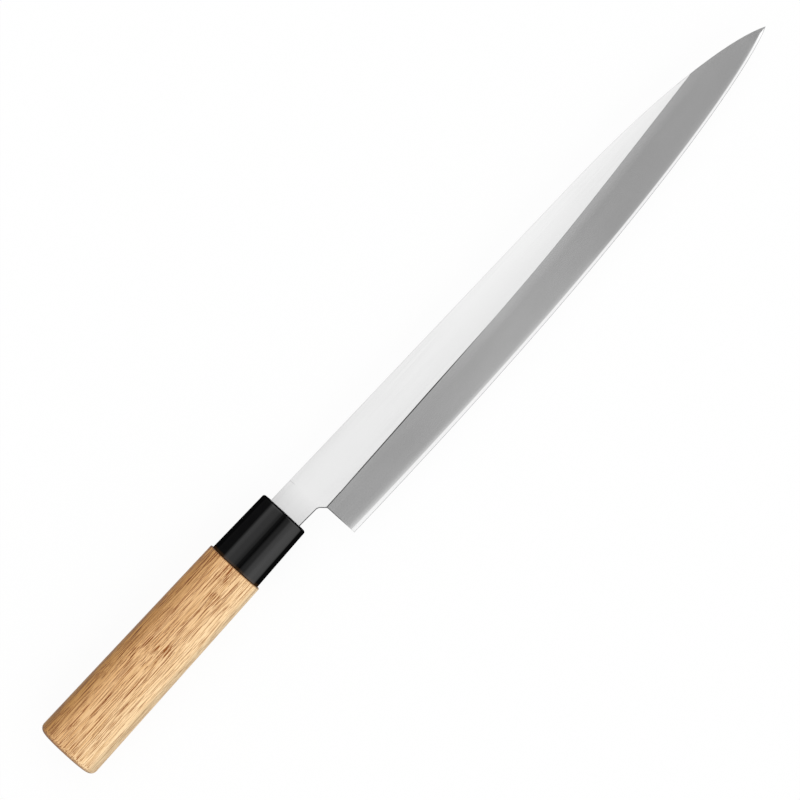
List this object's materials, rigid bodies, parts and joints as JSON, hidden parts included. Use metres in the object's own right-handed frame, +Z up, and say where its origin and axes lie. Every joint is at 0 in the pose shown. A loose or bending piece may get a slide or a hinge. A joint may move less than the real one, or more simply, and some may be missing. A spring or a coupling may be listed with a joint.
{
  "type": "sushi knife",
  "caption": "Long single-bevel slicing knife with a hollow-ground back, hidden tang, black moulded ferrule and tapered oval wooden handle.",
  "frame": {"origin": "on the surface that the knife lies on, under the middle of its box, with the knife lying on the hollow back of its blade side", "axes": "+X along the handle axis from the butt to the tip, +Y towards the spine, +Z up, out of the ground face of the blade"},
  "size_m": [0.4182, 0.042, 0.0229],
  "materials": {
    "blade_steel": "polished flat above the ridge line, satin ground face below it, bright sharpened band at the edge",
    "ferrule_plastic": "glossy black moulding",
    "handle_wood": "sanded pale open-pored wood with a thin satin seal",
    "bedding_resin": "cured amber resin, hidden inside the handle"
  },
  "bodies": {
    "root": {"blade": "blade_steel", "ferrule": "ferrule_plastic", "handle": "handle_wood", "tang_bedding": "bedding_resin"}
  },
  "joints": []
}
